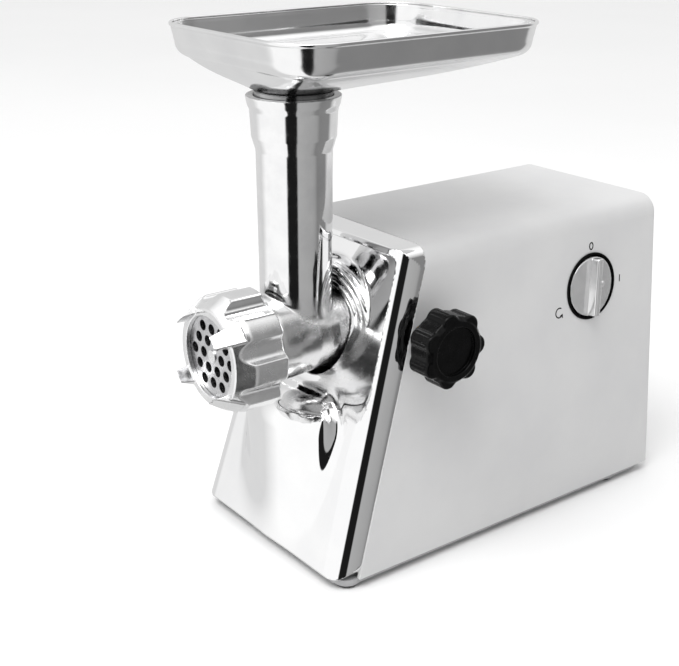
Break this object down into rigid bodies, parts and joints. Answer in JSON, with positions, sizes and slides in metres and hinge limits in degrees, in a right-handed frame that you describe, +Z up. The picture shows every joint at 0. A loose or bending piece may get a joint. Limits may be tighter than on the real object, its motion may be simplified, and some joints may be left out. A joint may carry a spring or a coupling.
{
  "type": "electric meat grinder",
  "caption": "Countertop meat grinder: slanted motor housing, horizontal auger head with feed tube and hopper tray, ring nut, lock knob and reversing switch.",
  "frame": {"origin": "centre of the footprint's bounding box, on the surface that the feet rest on", "axes": "+Z up; -Y out of the front, along the auger to the ring nut; +X towards the lock knob and the switch"},
  "size_m": [0.1852, 0.3756, 0.3424],
  "materials": {
    "housing": "pale grey, smooth satin gloss",
    "chrome": "mirror chrome plate on plastic",
    "base": "matt mid grey",
    "rubber": "matt black",
    "steel": "plain steel",
    "cast_metal": "polished cast alloy",
    "tray_steel": "polished pressed stainless steel",
    "nylon": "natural nylon",
    "black_plastic": "black, satin gloss",
    "brass": "plain",
    "alloy": "die-cast, as cast",
    "laminations": "stacked electrical steel",
    "copper": "enamelled copper",
    "carbon": "graphite"
  },
  "bodies": {
    "machine": {"housing_shell": "housing", "front_panel": "chrome", "base_plate": "base", "rubber_feet": "rubber", "base_screws": "steel", "head_socket": "chrome", "socket_screws": "steel", "lock_insert": "brass", "switch_bezel": "black_plastic", "rotary_switch": "black_plastic", "switch_terminals": "brass", "first_shaft": "steel", "second_shaft": "steel", "gearbox_case": "alloy", "gearbox_cover": "alloy", "gearbox_screws": "steel", "output_bushing": "brass", "stator_core": "laminations", "stator_windings": "copper", "front_bearing": "steel", "rear_bearing": "steel", "motor_end_frame": "alloy", "motor_bolts": "steel", "motor_spacers": "steel", "brush_holders": "brass", "carbon_brushes": "carbon", "motor_cradle": "rubber", "cord_gland": "black_plastic"},
    "head": {"grinder_head": "cast_metal", "auger_bushing": "nylon"},
    "tray": {"hopper_tray": "tray_steel"},
    "feed_screw": {"auger": "cast_metal", "cutter_blade": "steel"},
    "plate": {"grinding_plate": "steel"},
    "nut": {"ring_nut": "cast_metal"},
    "lock_slider": {"lock_spacer": "black_plastic"},
    "lock": {"lock_knob": "black_plastic", "lock_screw": "steel"},
    "switch": {"switch_knob": "chrome", "switch_shaft": "steel"},
    "rotor": {"motor_shaft": "steel", "motor_pinion": "steel", "rotor_core": "laminations", "commutator": "copper", "cooling_fan": "black_plastic"},
    "first_wheel": {"first_gear": "nylon"},
    "second_wheel": {"second_gear": "nylon"},
    "spindle": {"output_gear": "steel", "output_spindle": "steel"}
  },
  "joints": [
    {"name": "motor_spin", "type": "hinge", "parent": "machine", "child": "rotor", "pos_m": [-0.01065, 0.04, 0.066], "axis": [0, -1, 0], "continuous": true},
    {"name": "first_wheel_spin", "type": "hinge", "parent": "machine", "child": "first_wheel", "pos_m": [-0.024, -0.016, 0.09943], "axis": [0, -1, 0], "continuous": true},
    {"name": "second_wheel_spin", "type": "hinge", "parent": "machine", "child": "second_wheel", "pos_m": [0.01298, -0.03, 0.10568], "axis": [0, -1, 0], "continuous": true},
    {"name": "spindle_spin", "type": "hinge", "parent": "machine", "child": "spindle", "pos_m": [-0.01065, -0.04, 0.1466], "axis": [0, -1, 0], "continuous": true},
    {"name": "head_pull", "type": "slide", "parent": "machine", "child": "head", "axis": [0, -1, 0], "range_m": [0, 0.06]},
    {"name": "auger_spin", "type": "hinge", "parent": "head", "child": "feed_screw", "pos_m": [-0.01065, -0.1, 0.1466], "axis": [0, -1, 0], "continuous": true},
    {"name": "plate_out", "type": "slide", "parent": "head", "child": "plate", "axis": [0, -1, 0], "range_m": [0, 0.006]},
    {"name": "nut_unscrew", "type": "hinge", "parent": "plate", "child": "nut", "pos_m": [-0.01065, -0.16, 0.1466], "axis": [0, -1, 0], "range_deg": [0, 720]},
    {"name": "tray_lift", "type": "slide", "parent": "head", "child": "tray", "axis": [0, 0, 1], "range_m": [0, 0.05]},
    {"name": "lock_travel", "type": "slide", "parent": "machine", "child": "lock_slider", "axis": [1, 0, 0], "range_m": [0, 0.005]},
    {"name": "lock_turn", "type": "hinge", "parent": "lock_slider", "child": "lock", "pos_m": [0.07935, -0.0645, 0.1558], "axis": [1, 0, 0], "range_deg": [0, 1440]},
    {"name": "switch_turn", "type": "hinge", "parent": "machine", "child": "switch", "pos_m": [0.06014, 0.0895, 0.1578], "axis": [0.9972, 0, 0.0741], "range_deg": [-90, 90]}
  ],
  "couplings": [
    {"joint": "first_wheel_spin", "follows": "motor_spin", "ratio": -0.2},
    {"joint": "second_wheel_spin", "follows": "motor_spin", "ratio": 0.05},
    {"joint": "spindle_spin", "follows": "motor_spin", "ratio": -0.014286},
    {"joint": "auger_spin", "follows": "motor_spin", "ratio": -0.014286},
    {"joint": "plate_out", "follows": "nut_unscrew", "m_per_rad": 0.00047746},
    {"joint": "lock_travel", "follows": "lock_turn", "m_per_rad": 0.00019894}
  ]
}
